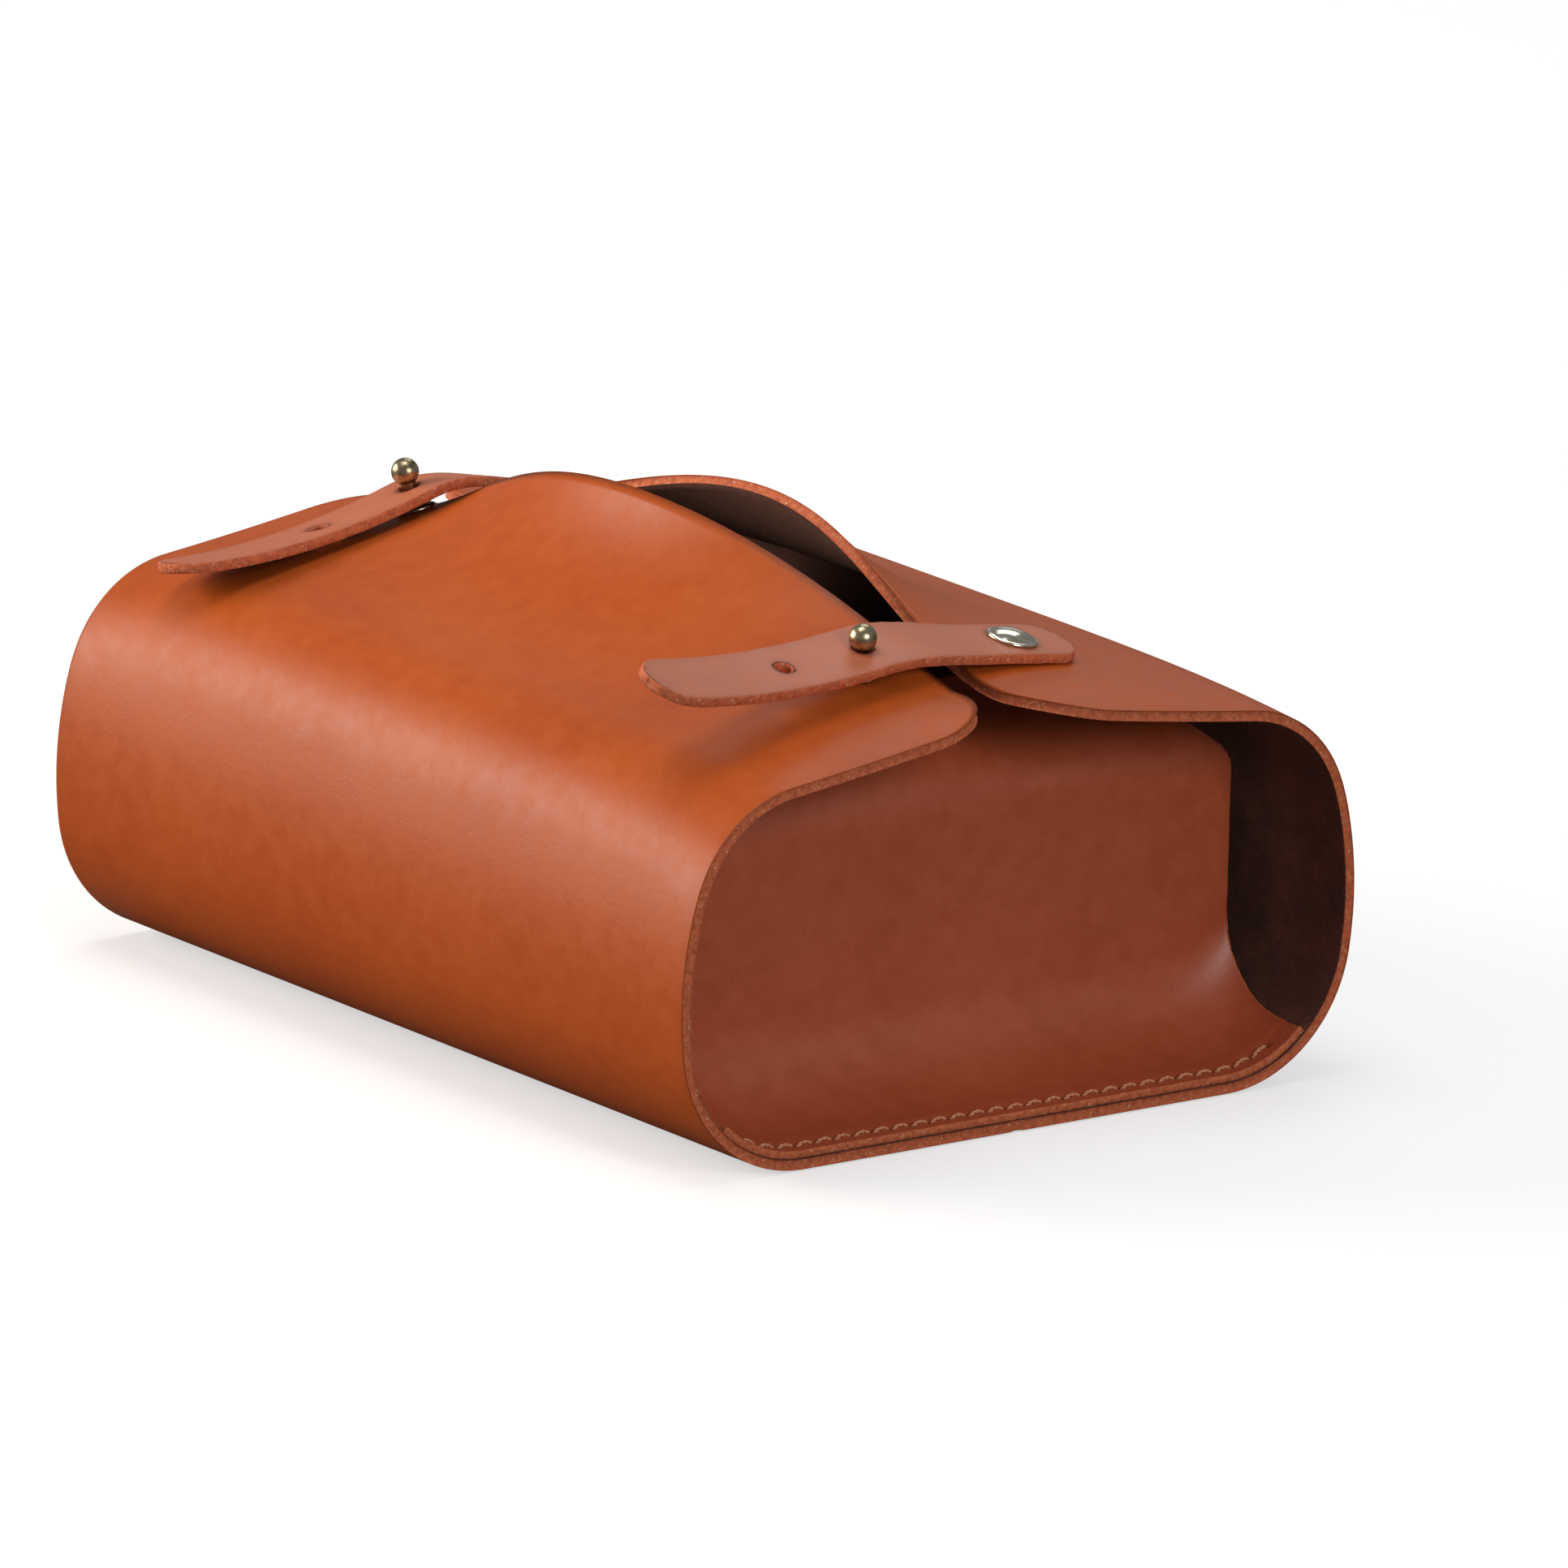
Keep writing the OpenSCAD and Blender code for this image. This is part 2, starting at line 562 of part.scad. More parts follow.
base_wrap();
near_flap();
far_flap();
panel_foot();  // front_panel_foot
rear() panel_foot();  // rear_panel_foot
end_panel();  // front_end_panel
rear() end_panel();  // rear_end_panel
panel_tab();  // front_panel_tab
rear() panel_tab();  // rear_panel_tab
seam_thread();  // front_seam_thread
rear() seam_thread();  // rear_seam_thread
strap_root(front_band);  // front_strap_root
rear() strap_root(rear_band);  // rear_strap_root
strap(front_band);  // front_strap
rear() strap(rear_band);  // rear_strap
rivet_cap();  // front_rivet_cap
rear() rivet_cap();  // rear_rivet_cap
rivet_post();  // front_rivet_post
rear() rivet_post();  // rear_rivet_post
stud();  // front_stud
rear() stud();  // rear_stud
stud_screw();  // front_stud_screw
rear() stud_screw();  // rear_stud_screw
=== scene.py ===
import math

import bpy
import numpy as np
from mathutils import Matrix, Vector


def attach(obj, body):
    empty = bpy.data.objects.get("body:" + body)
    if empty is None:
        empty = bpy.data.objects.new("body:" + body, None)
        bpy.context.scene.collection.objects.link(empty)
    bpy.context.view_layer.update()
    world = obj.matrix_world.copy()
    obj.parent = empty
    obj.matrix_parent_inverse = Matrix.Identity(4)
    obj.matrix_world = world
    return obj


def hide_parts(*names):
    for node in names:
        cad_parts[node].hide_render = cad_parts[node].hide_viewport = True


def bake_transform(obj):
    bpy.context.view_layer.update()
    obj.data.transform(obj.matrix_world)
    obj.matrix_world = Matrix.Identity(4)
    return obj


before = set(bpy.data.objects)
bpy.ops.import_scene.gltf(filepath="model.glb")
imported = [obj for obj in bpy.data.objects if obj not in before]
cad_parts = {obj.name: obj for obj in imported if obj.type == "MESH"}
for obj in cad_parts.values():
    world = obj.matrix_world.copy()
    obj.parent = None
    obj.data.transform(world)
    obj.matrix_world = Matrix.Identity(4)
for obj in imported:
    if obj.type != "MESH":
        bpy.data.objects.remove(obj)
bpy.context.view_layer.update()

# Leather tissue box cover. All lengths below are in millimetres and pass to metres in one place.
MM = 0.001

# Camera of the photograph: a long lens, above and beside the end panel.
FOCAL_PIXELS = 30000
PICTURE_PIXELS = 1932
AZIMUTH, ELEVATION, ROLL = 52.980, 14.939, 1.548
ORIGIN_PIXEL = (857.64, 1241.57)
DISTANCE = 4146.76

# Sizes of the wrap and its flaps, as in the part's source
END_X = 90.0
WRAP_T = 1.8
BOTTOM_HALF = 44.5
BOTTOM_R, BOTTOM_TURN = 25.5, math.radians(82)
WALL_R, WALL_TURN = 67.0, math.radians(24)
SHOULDER_R, SHOULDER_TURN = 23.0, math.radians(67)
SWEEP_R = 1000.0
SOFT_REACH, SOFT_HALF_L = 8.0, 18.0
FLAP_CORNER_R = 15.0
CORNER_X = END_X - FLAP_CORNER_R
NEAR = dict(side=-1, length=72.5, crown=19.0, reach=74.0, power=1.25, bulge=7.0)
FAR = dict(side=1, length=72.26, crown=16.0, reach=80.0, power=2.1, bulge=6.5)
STUD_X, STUD_EDGE = 63.5, 10.0
RIVET_X, RIVET_EDGE = 61.0, 13.0

# Sizes of the end panels and their seams
PANEL_HALF = 60.0
PANEL_T = 1.4
FOOT_L = 5.0
SCOOP_R = 15.5
PANEL_GAP = 0.3
FOOT_GAP, FOOT_FLAT_X = 0.02, 86.0
TUCK_Z, TUCK_R, TUCK_TURN = 50.0, 12.0, math.radians(76)
TAB_L, TAB_HALF, TAB_CORNER_R = 17.0, 48.0, 13.0
STACK_T = WRAP_T + PANEL_T
FOOT_R = BOTTOM_R - STACK_T
SEAM_X = 87.0
STITCH_PITCH, STITCHES = 4.0, 28
SEAM_HALF_L = 58.0
GROOVE_DEPTH, NEEDLE_DEPTH = 0.62, 0.45
PLY_R, PLY_OFFSET = 0.2, 0.17

# Sizes of the straps, studs and rivets
STRAP_HALF, STRAP_T = 7.0, 1.8
STRAP_ROOT_L, STRAP_FLEX_L, STRAP_TAIL_L = 12.0, 7.5, 48.0
STRAP_ROOT_R, STRAP_TAIL_R = 5.5, 6.5
STRAP_GAP, SEAT_GAP, CURVE_GAP = 0.4, 0.05, 0.3
FRONT_BAND = dict(end=1, lift=3.4, dip=5.0, bend=15.0, twist=1.0)
REAR_BAND = dict(end=-1, lift=2.7, dip=20.0, bend=21.0, twist=0.65)
HOLE_R, HOLE_PITCH = 1.7, 18.0
RIVET_HOLE_R = 1.6
# Half the side of the square patch of mesh around a punched hole
PATCH_HALF = 4
BALL_R, BALL_GAP = 2.4, 0.3
BALL_H = FRONT_BAND["lift"] + STRAP_T + math.sqrt(BALL_R ** 2 - HOLE_R ** 2) + BALL_GAP


# The leather's form

def turn_on(y, z, heading, radius, turn):
    """Follows an arc from a point and its heading through a turn."""
    after = heading + turn
    return (y + radius * (np.sin(after) - np.sin(heading)),
            z + radius * (np.cos(heading) - np.cos(after)), after)


WALL_START = turn_on(BOTTOM_HALF, 0.0, 0.0, BOTTOM_R, BOTTOM_TURN)
FOLD = turn_on(*WALL_START, WALL_R, WALL_TURN)
SHOULDER_END = turn_on(*FOLD, SHOULDER_R, SHOULDER_TURN)
SHOULDER_L = SHOULDER_R * SHOULDER_TURN
BEND_END_U = BOTTOM_HALF + BOTTOM_R * BOTTOM_TURN
FOLD_U = BEND_END_U + WALL_R * WALL_TURN


def wrap_outline(u):
    """The wrap's section at the ends, at a distance u along the leather from the bottom's middle."""
    parts = [turn_on(BOTTOM_HALF, 0.0, 0.0, BOTTOM_R, (u - BOTTOM_HALF) / BOTTOM_R),
             turn_on(*WALL_START, WALL_R, (u - BEND_END_U) / WALL_R),
             turn_on(*FOLD, SHOULDER_R, (u - FOLD_U) / SHOULDER_R),
             turn_on(*SHOULDER_END, -SWEEP_R, -(u - FOLD_U - SHOULDER_L) / SWEEP_R)]
    steps = [u < BOTTOM_HALF, u < BEND_END_U, u < FOLD_U, u < FOLD_U + SHOULDER_L]
    y = np.select(steps, [u] + [p[0] for p in parts[:3]], parts[3][0])
    z = np.select(steps, [0 * u] + [p[1] for p in parts[:3]], parts[3][1])
    return y, z


def raw_wrap_point(x, u, flap):
    y, z = wrap_outline(u)
    s = u - FOLD_U
    share = np.clip((s - SHOULDER_L) / (flap["length"] - SHOULDER_L), 0, None)
    crown = flap["crown"] * np.clip(1 - (x / flap["reach"]) ** 2, 0, 1) ** flap["power"]
    bulge = flap["bulge"] * np.clip(1 - (np.abs(x) / END_X) ** 4, 0, 1)
    turn = np.radians(bulge + (crown - bulge) * share ** 2)
    dy, dz = y - FOLD[0], z - FOLD[1]
    on_flap = s > 0
    ny = np.where(on_flap, FOLD[0] + dy * np.cos(turn) + dz * np.sin(turn), y)
    nz = np.where(on_flap, FOLD[1] - dy * np.sin(turn) + dz * np.cos(turn), z)
    return np.stack([x + 0 * u, flap["side"] * ny, nz], -1)


def wrap_point(x, u, flap):
    """A point of the wrap's outer face. The leather passes softly over the fold line."""
    reach = SOFT_REACH * np.clip(1 - ((u - FOLD_U) / SOFT_HALF_L) ** 2, 0, 1)
    taps = np.linspace(-1.5, 1.5, 7)
    weights = np.exp(-taps ** 2 / 0.9)
    weights /= weights.sum()
    return sum(w * raw_wrap_point(x, u + t * reach / 2, flap) for t, w in zip(taps, weights))


def wrap_normal(x, u, flap):
    step = 0.4
    along = wrap_point(x + step, u, flap) - wrap_point(x - step, u, flap)
    across = wrap_point(x, u + step, flap) - wrap_point(x, u - step, flap)
    return unit(flap["side"] * np.cross(across, along))


def unit(v):
    return v / np.linalg.norm(v, axis=-1, keepdims=True)


def grid_faces(rows, cols):
    """Quads of a grid of points, turning anticlockwise when row x column points outwards."""
    i, j = np.meshgrid(np.arange(rows - 1), np.arange(cols - 1), indexing="ij")
    a = (i * cols + j).ravel()
    return np.stack([a, a + cols, a + cols + 1, a + 1], -1)


def mesh_piece(name, points, faces, materials, zones=None, marks=None, edge=None):
    """A mesh object from points in millimetres, with its materials, its edge wear values and its
    painted shade in hollows.
    """
    mesh = bpy.data.meshes.new(name)
    mesh.from_pydata((np.asarray(points) * MM).tolist(), [], [list(map(int, f)) for f in faces])
    for material in materials:
        mesh.materials.append(material)
    if zones is not None:
        mesh.polygons.foreach_set("material_index", np.asarray(zones, dtype=np.int32))
    for label, values in (("painted_hollow_shade", marks), ("edge_distance", edge)):
        if values is not None:
            layer = mesh.attributes.new(label, "FLOAT", "POINT")
            layer.data.foreach_set("value", np.asarray(values, dtype=np.float32))
    mesh.polygons.foreach_set("use_smooth", [True] * len(mesh.polygons))
    mesh.update()
    piece = bpy.data.objects.new(name, mesh)
    bpy.context.scene.collection.objects.link(piece)
    return piece


def cut_leather(name, face, normals, faces, thick, materials, marks=None, middle_cut=False,
                lip=0.4, seed=1):
    """A sheet of leather with a grain face, a suede back and a raw, slightly rounded cut edge.

    face holds the points of the grain face out to the cut. Where middle_cut is set, the sheet
    goes on in its other half at y = 0, so its edge there is neither rounded nor set back.
    """
    rng = np.random.default_rng(seed)
    count = len(face)
    follows = {}
    for f in faces:
        for a, b in zip(f, np.roll(f, -1)):
            follows[(int(a), int(b))] = True
    border = [(a, b) for a, b in follows if (b, a) not in follows]
    after = dict(border)
    before = {b: a for a, b in border}
    rim = np.array(sorted(after))
    ahead = unit(face[[after[r] for r in rim]] - face[rim])
    behind = unit(face[rim] - face[[before[r] for r in rim]])
    outward = np.cross(ahead, normals[rim]) + np.cross(behind, normals[rim])
    if middle_cut:
        on_middle = np.abs(face[rim, 1]) < 1e-4
        outward[on_middle] = 0
        ends = on_middle & (np.abs(face[rim, 0]) > END_X - 1e-3)
        outward[ends, 0] = np.sign(face[rim[ends], 0])
    size = np.linalg.norm(outward, axis=1, keepdims=True)
    outward = np.where(size > 0.1, outward / np.maximum(size, 1e-9), 0)
    place = {int(r): k for k, r in enumerate(rim)}

    profile = [(1.0, 0.0), (0.35, 0.10 * lip), (0.0, 0.55 * lip), (-0.05, thick / 2),
               (0.0, thick - 0.5 * lip), (0.35, thick - 0.08 * lip), (1.0, thick)]
    rings = []
    for k, (inset, depth) in enumerate(profile):
        rough = 0.05 if 0 < k < len(profile) - 1 else 0.0
        jitter = rng.normal(0, rough, (len(rim), 1))
        rings.append(face[rim] - outward * (inset * lip + jitter) - normals[rim] * depth)
    grain, suede = face.copy(), face - thick * normals
    grain[rim], suede[rim] = rings[0], rings[-1]
    points = np.concatenate([grain, suede] + rings[1:-1])

    def ring_index(k, r):
        if k == 0:
            return r
        if k == len(rings) - 1:
            return count + r
        return 2 * count + (k - 1) * len(rim) + place[r]

    strips = [[ring_index(k, a), ring_index(k + 1, a), ring_index(k + 1, b), ring_index(k, b)]
              for a, b in border for k in range(len(rings) - 1)]
    top = [list(f) for f in faces]
    low = [[count + v for v in f[::-1]] for f in faces]
    zones = [0] * len(top) + [1] * len(low) + [2] * len(strips)
    # The turned lips keep the finish of the face that they belong to
    for n in range(len(strips)):
        if n % (len(rings) - 1) == 0:
            zones[len(top) + len(low) + n] = 0

    cut_points = face[rim] if not middle_cut else face[rim][~on_middle | ends]
    distance = np.empty(count)
    for start in range(0, count, 2000):
        part = face[start:start + 2000]
        distance[start:start + 2000] = np.sqrt(
            ((part[:, None, :] - cut_points[None]) ** 2).sum(-1)).min(1)
    edge = np.concatenate([distance, distance, np.zeros(len(points) - 2 * count)])
    # pressed holds the painted shade in the needle dimples, the seam groove and the rings round
    # holes and rivets
    pressed = np.zeros(len(points))
    if marks is not None:
        pressed[:count] = marks
    return mesh_piece(name, points, top + low + strips, materials, zones, pressed, edge)


# The wrap: one sheet, as two halves that join in the middle of the bottom

def seam_groove(x, u):
    """Depth of the groove that the underside's stitches lie in."""
    off = np.abs(np.abs(x) - SEAM_X)
    run = np.clip(SEAM_HALF_L + 0.5 - u, 0, 1)
    return GROOVE_DEPTH * np.exp(-(off / 0.55) ** 4) * run


def wrap_half(name, flap, materials, seed):
    corner = [CORNER_X + FLAP_CORNER_R * math.sin(math.radians(a)) for a in range(6, 91, 6)]
    seam = [SEAM_X + d for d in (-1.2, -0.8, -0.5, -0.25, 0, 0.25, 0.5, 0.8, 1.2)]
    corner = sorted([c for c in corner if abs(c - SEAM_X) > 1.5] + seam)
    middle = list(np.linspace(-CORNER_X, CORNER_X, 101))
    stations = np.array([-c for c in corner[::-1]] + middle + corner)
    inside = np.clip(np.abs(stations) - CORNER_X, 0, FLAP_CORNER_R)
    shortened = FLAP_CORNER_R - np.sqrt(FLAP_CORNER_R ** 2 - inside ** 2)
    low_rows = np.linspace(0, FOLD_U, 74)
    # rows keep level up to the fold line, and close up towards the rounded corners above it
    flap_rows = FOLD_U + (flap["length"] - shortened)[:, None] * np.linspace(0, 1, 54)[None, 1:]
    u = np.concatenate([np.repeat(low_rows[None], len(stations), 0), flap_rows], 1)
    x = np.repeat(stations[:, None], u.shape[1], 1)
    face = wrap_point(x, u, flap)
    normal = wrap_normal(x, u, flap)
    face = face - normal * seam_groove(x, u)[..., None]
    face[:, 0, 1] = 0
    faces = grid_faces(*x.shape)
    if flap["side"] < 0:
        faces = faces[:, ::-1]
    # Painted shade along the groove that the underside's stitches lie in
    marks = np.exp(-((np.abs(x) - SEAM_X) / 0.5) ** 2) * (u < SEAM_HALF_L)
    return cut_leather(name, face.reshape(-1, 3), normal.reshape(-1, 3), faces, WRAP_T,
                       materials, marks.ravel() * 0.6, middle_cut=True, seed=seed)


# The end panels: foot, scoop, upright wall and tuck tab in one sheet

def foot_top(y):
    inside = np.clip(np.abs(y) - BOTTOM_HALF, 0, None)
    return BOTTOM_R - np.sqrt(FOOT_R ** 2 - inside ** 2)


def panel_half_width(beyond):
    """Half the panel's width at a distance beyond the start of the inward bend."""
    tuck_l = TUCK_R * TUCK_TURN
    tip = tuck_l + TAB_L
    eased = TAB_HALF + (PANEL_HALF - TAB_HALF) / 2 * (1 + np.cos(np.pi * beyond / tuck_l))
    into = np.clip(beyond - tip + TAB_CORNER_R, 0, TAB_CORNER_R)
    rounded = TAB_HALF - TAB_CORNER_R + np.sqrt(TAB_CORNER_R ** 2 - into ** 2)
    return np.select([beyond <= 0, beyond < tuck_l], [PANEL_HALF + 0 * beyond, eased], rounded)


def needle_marks(points_y, x):
    """Depth of the dimples that the needle left, at both ends of each stitch."""
    arc = np.where(np.abs(points_y) < BOTTOM_HALF, points_y,
                   np.sign(points_y) * (BOTTOM_HALF + FOOT_R * np.arcsin(
                       np.clip((np.abs(points_y) - BOTTOM_HALF) / FOOT_R, 0, 1))))
    off = (arc + STITCH_PITCH / 2) % STITCH_PITCH - STITCH_PITCH / 2
    reach = np.abs(arc) < STITCHES * STITCH_PITCH / 2 + 1
    return np.exp(-(off ** 2 + (x - SEAM_X) ** 2) / 0.55 ** 2) * reach


def end_panel(name, end, materials, seed):
    across = np.linspace(-1, 1, 241)
    fold_x = END_X - FOOT_L - PANEL_GAP
    face_x = fold_x - SCOOP_R
    rows, normals = [], []
    y_flat = across * PANEL_HALF
    lean_flat = np.arcsin(np.clip((np.abs(y_flat) - BOTTOM_HALF) / FOOT_R, 0, 1))

    def scoop_normal(a):
        lean = lean_flat * math.cos(a)
        return np.stack([math.sin(a) * np.cos(lean), -np.sign(y_flat) * np.sin(lean),
                         math.cos(a) * np.cos(lean)], -1)

    for x in np.linspace(END_X, fold_x, 12)[:-1]:
        rise = PANEL_GAP * min(1, max(0, (FOOT_FLAT_X - x) / (FOOT_FLAT_X - fold_x)))
        z = foot_top(y_flat) + FOOT_GAP + rise - NEEDLE_DEPTH * needle_marks(y_flat, x)
        rows.append(np.stack([x + 0 * y_flat, y_flat, z], -1))
        normals.append(scoop_normal(0))
    for a in np.linspace(0, math.pi / 2, 25):
        z = foot_top(y_flat) + PANEL_GAP + SCOOP_R * (1 - math.cos(a))
        rows.append(np.stack([fold_x - SCOOP_R * math.sin(a) + 0 * y_flat, y_flat, z], -1))
        normals.append(scoop_normal(a))
    low = rows[-1]
    for f in np.linspace(0, 1, 22)[1:]:
        rows.append(np.stack([low[:, 0], y_flat, low[:, 2] + f * (TUCK_Z - low[:, 2])], -1))
        normals.append(np.repeat([[1.0, 0, 0]], len(across), 0))
    for a in np.linspace(0, TUCK_TURN, 17)[1:]:
        half = panel_half_width(np.array(TUCK_R * a))
        rows.append(np.stack([face_x - TUCK_R * (1 - math.cos(a)) + 0 * across, across * half,
                              TUCK_Z + TUCK_R * math.sin(a) + 0 * across], -1))
        normals.append(np.repeat([[math.cos(a), 0, math.sin(a)]], len(across), 0))
    tip_x, tip_z = rows[-1][0, 0], rows[-1][0, 2]
    for t in np.sin(np.linspace(0, math.pi / 2, 17))[1:]:
        run = TAB_L * t
        half = panel_half_width(np.array(TUCK_R * TUCK_TURN + run))
        rows.append(np.stack([tip_x - run * math.sin(TUCK_TURN) + 0 * across, across * half,
                              tip_z + run * math.cos(TUCK_TURN) + 0 * across], -1))
        normals.append(np.repeat([[math.cos(TUCK_TURN), 0, math.sin(TUCK_TURN)]],
                                 len(across), 0))
    face, normal = np.array(rows), np.array(normals)
    # Painted shade in the needle dimples of the foot
    marks = needle_marks(face[..., 1], face[..., 0]) * (face[..., 2] < 12)
    flip = np.array([end, 1, 1])
    faces = grid_faces(*face.shape[:2])
    if end > 0:
        faces = faces[:, ::-1]
    return cut_leather(name, (face * flip).reshape(-1, 3), (normal * flip).reshape(-1, 3), faces,
                       PANEL_T, materials, marks.ravel(), seed=seed)


# The straps

def tilt_of(n):
    return math.atan2(n[0], n[2])


RIVET_U = FOLD_U + FAR["length"] - RIVET_EDGE
STUD_U = FOLD_U + NEAR["length"] - STUD_EDGE
RIVET_AT = wrap_point(np.array(RIVET_X), np.array(RIVET_U), FAR)
RIVET_N = wrap_normal(np.array(RIVET_X), np.array(RIVET_U), FAR)
STUD_AT = wrap_point(np.array(STUD_X), np.array(STUD_U), NEAR)
STUD_N = wrap_normal(np.array(STUD_X), np.array(STUD_U), NEAR)
STRAP_BASE = RIVET_AT + STRAP_GAP * RIVET_N
for band in (FRONT_BAND, REAR_BAND):
    band["mid"] = STUD_AT + band["lift"] * STUD_N
    band["stud_l"] = STRAP_BASE[1] - band["mid"][1]


def strap_middle(l, band):
    """Height and slope of the strap's under face at a distance l along it from the rivet."""
    slope, dip = math.tan(math.asin(RIVET_N[1])), math.tan(math.radians(band["dip"]))
    flex_z = STRAP_BASE[2] + STRAP_FLEX_L * slope
    bridge_l = band["stud_l"] - STRAP_FLEX_L
    q = (l - STRAP_FLEX_L) / bridge_l
    bridge = (flex_z * (2 * q ** 3 - 3 * q ** 2 + 1) + bridge_l * slope * (q ** 3 - 2 * q ** 2 + q)
              + band["mid"][2] * (3 * q ** 2 - 2 * q ** 3) - bridge_l * dip * (q ** 3 - q ** 2))
    rise = ((band["mid"][2] - flex_z) * 6 * (q - q ** 2) / bridge_l
            + slope * (3 * q ** 2 - 4 * q + 1) - dip * (3 * q ** 2 - 2 * q))
    t = l - band["stud_l"]
    curl = math.tan(math.radians(band["bend"])) / STRAP_TAIL_L
    steps = [l < STRAP_FLEX_L, l < band["stud_l"]]
    z = np.select(steps, [STRAP_BASE[2] + l * slope, bridge],
                  band["mid"][2] - dip * t + curl * t ** 2 / 2)
    lean = np.select(steps, [math.atan(slope) + 0 * l, np.arctan(rise)], np.arctan(curl * t - dip))
    return z, lean


def strap_face(l, w, band):
    """Upper face of a strap and its normal, at a distance w across from its middle line."""
    z, lean = strap_middle(l, band)
    share = np.clip((l - STRAP_FLEX_L) / (band["stud_l"] - STRAP_FLEX_L), 0, 1)
    tilt = tilt_of(RIVET_N) + (band["twist"] * tilt_of(STUD_N) - tilt_of(RIVET_N)) * share
    x = STRAP_BASE[0] + (band["mid"][0] - STRAP_BASE[0]) * l / band["stud_l"]
    under = np.stack([x + w * np.cos(tilt), STRAP_BASE[1] - l, z - w * np.sin(tilt)], -1)
    normal = np.stack([np.sin(tilt) * np.cos(lean), np.sin(lean),
                       np.cos(tilt) * np.cos(lean)], -1)
    return under + STRAP_T * normal, normal


def strap_half_width(l, length):
    def rounded(d, r):
        return np.where(d < r, r - np.sqrt(np.clip(r ** 2 - (r - d) ** 2, 0, None)), 0)
    return (STRAP_HALF - rounded(STRAP_ROOT_L + l, STRAP_ROOT_R)
            - rounded(length - l, STRAP_TAIL_R))


def strap_pattern(stud_l):
    """The strap laid flat, as (length, width) points and faces, with its three punched holes."""
    length = stud_l + STRAP_TAIL_L
    holes = [(0.0, RIVET_HOLE_R), (stud_l, HOLE_R), (stud_l + HOLE_PITCH, HOLE_R - 0.1)]
    sides = (-PATCH_HALF, PATCH_HALF)
    stops = [-STRAP_ROOT_L + STRAP_ROOT_R, *(c + d for c, _ in holes for d in sides),
             length - STRAP_TAIL_R]
    lines = []
    for a, b in zip(stops, stops[1:]):
        lines += list(np.linspace(a, b, max(2, int(round(b - a)) + 1))[:-1])
    angles = np.radians(np.arange(0, 91, 7.5))
    root = -STRAP_ROOT_L + STRAP_ROOT_R * (1 - np.cos(angles[:-1]))
    tail = length - STRAP_TAIL_R * (1 - np.cos(angles))
    lines = np.array(list(root) + lines + list(tail[::-1]))
    across = np.arange(-7, 8) / 7.0
    l = np.repeat(lines[:, None], len(across), 1)
    w = across[None] * strap_half_width(lines, length)[:, None]
    points = np.stack([l.ravel(), w.ravel()], -1)
    cols = len(across)
    faces = []
    for i in range(len(lines) - 1):
        for j in range(cols - 1):
            mid_l = (lines[i] + lines[i + 1]) / 2
            mid_w = (across[j] + across[j + 1]) / 2 * STRAP_HALF
            if abs(mid_w) < PATCH_HALF and any(abs(mid_l - c) < PATCH_HALF for c, _ in holes):
                continue
            a = i * cols + j
            faces.append([a, a + cols, a + cols + 1, a + 1])
    points = list(points)
    for centre, radius in holes:
        i0, i1 = (int(np.argmin(np.abs(lines - (centre + d)))) for d in sides)
        j0, j1 = (cols // 2 + d for d in sides)
        loop = ([i0 * cols + j for j in range(j0, j1)] + [i * cols + j1 for i in range(i0, i1)]
                + [i1 * cols + j for j in range(j1, j0, -1)]
                + [i * cols + j0 for i in range(i1, i0, -1)])
        square = np.array([points[k] for k in loop])
        spoke = unit(square - [centre, 0.0])
        circle = np.array([centre, 0.0]) + radius * spoke
        outer = loop
        for t in (0.78, 0.56, 0.36, 0.2, 0.09, 0.0):
            start = len(points)
            points += list(circle + (square - circle) * t)
            ring = list(range(start, start + len(loop)))
            for k in range(len(loop)):
                n = (k + 1) % len(loop)
                faces.append([outer[k], outer[n], ring[n], ring[k]])
            outer = ring
    used = sorted({v for f in faces for v in f})
    renumber = {v: k for k, v in enumerate(used)}
    return np.array(points)[used], [[renumber[v] for v in f] for f in faces]


def strap(name, band, materials, seed):
    end, stud_l = band["end"], band["stud_l"]
    flat, faces = strap_pattern(stud_l)
    face, normal = strap_face(flat[:, 0], flat[:, 1], band)
    fixed = []
    for f in faces:
        outward = np.cross(face[f[2]] - face[f[0]], face[f[3]] - face[f[1]]) @ normal[f[0]]
        fixed.append(f if (outward > 0) == (end > 0) else f[::-1])
    flip = np.array([end, 1, 1])
    # Painted shade in the rims of the punched holes, and in a ring round the rivet cap where the
    # leather would dip
    marks = np.zeros(len(flat))
    for centre in (stud_l, stud_l + HOLE_PITCH):
        away = np.hypot(flat[:, 0] - centre, flat[:, 1])
        marks = np.maximum(marks, np.exp(-((away - HOLE_R) / 0.5) ** 2))
    away = np.hypot(flat[:, 0], flat[:, 1])
    marks = np.maximum(marks, 0.7 * np.exp(-((away - 4.7) / 0.5) ** 2))
    return cut_leather(name, face * flip, normal * flip, fixed, STRAP_T, materials, marks,
                       lip=0.35, seed=seed)


# Metal pieces, turned about their own axis

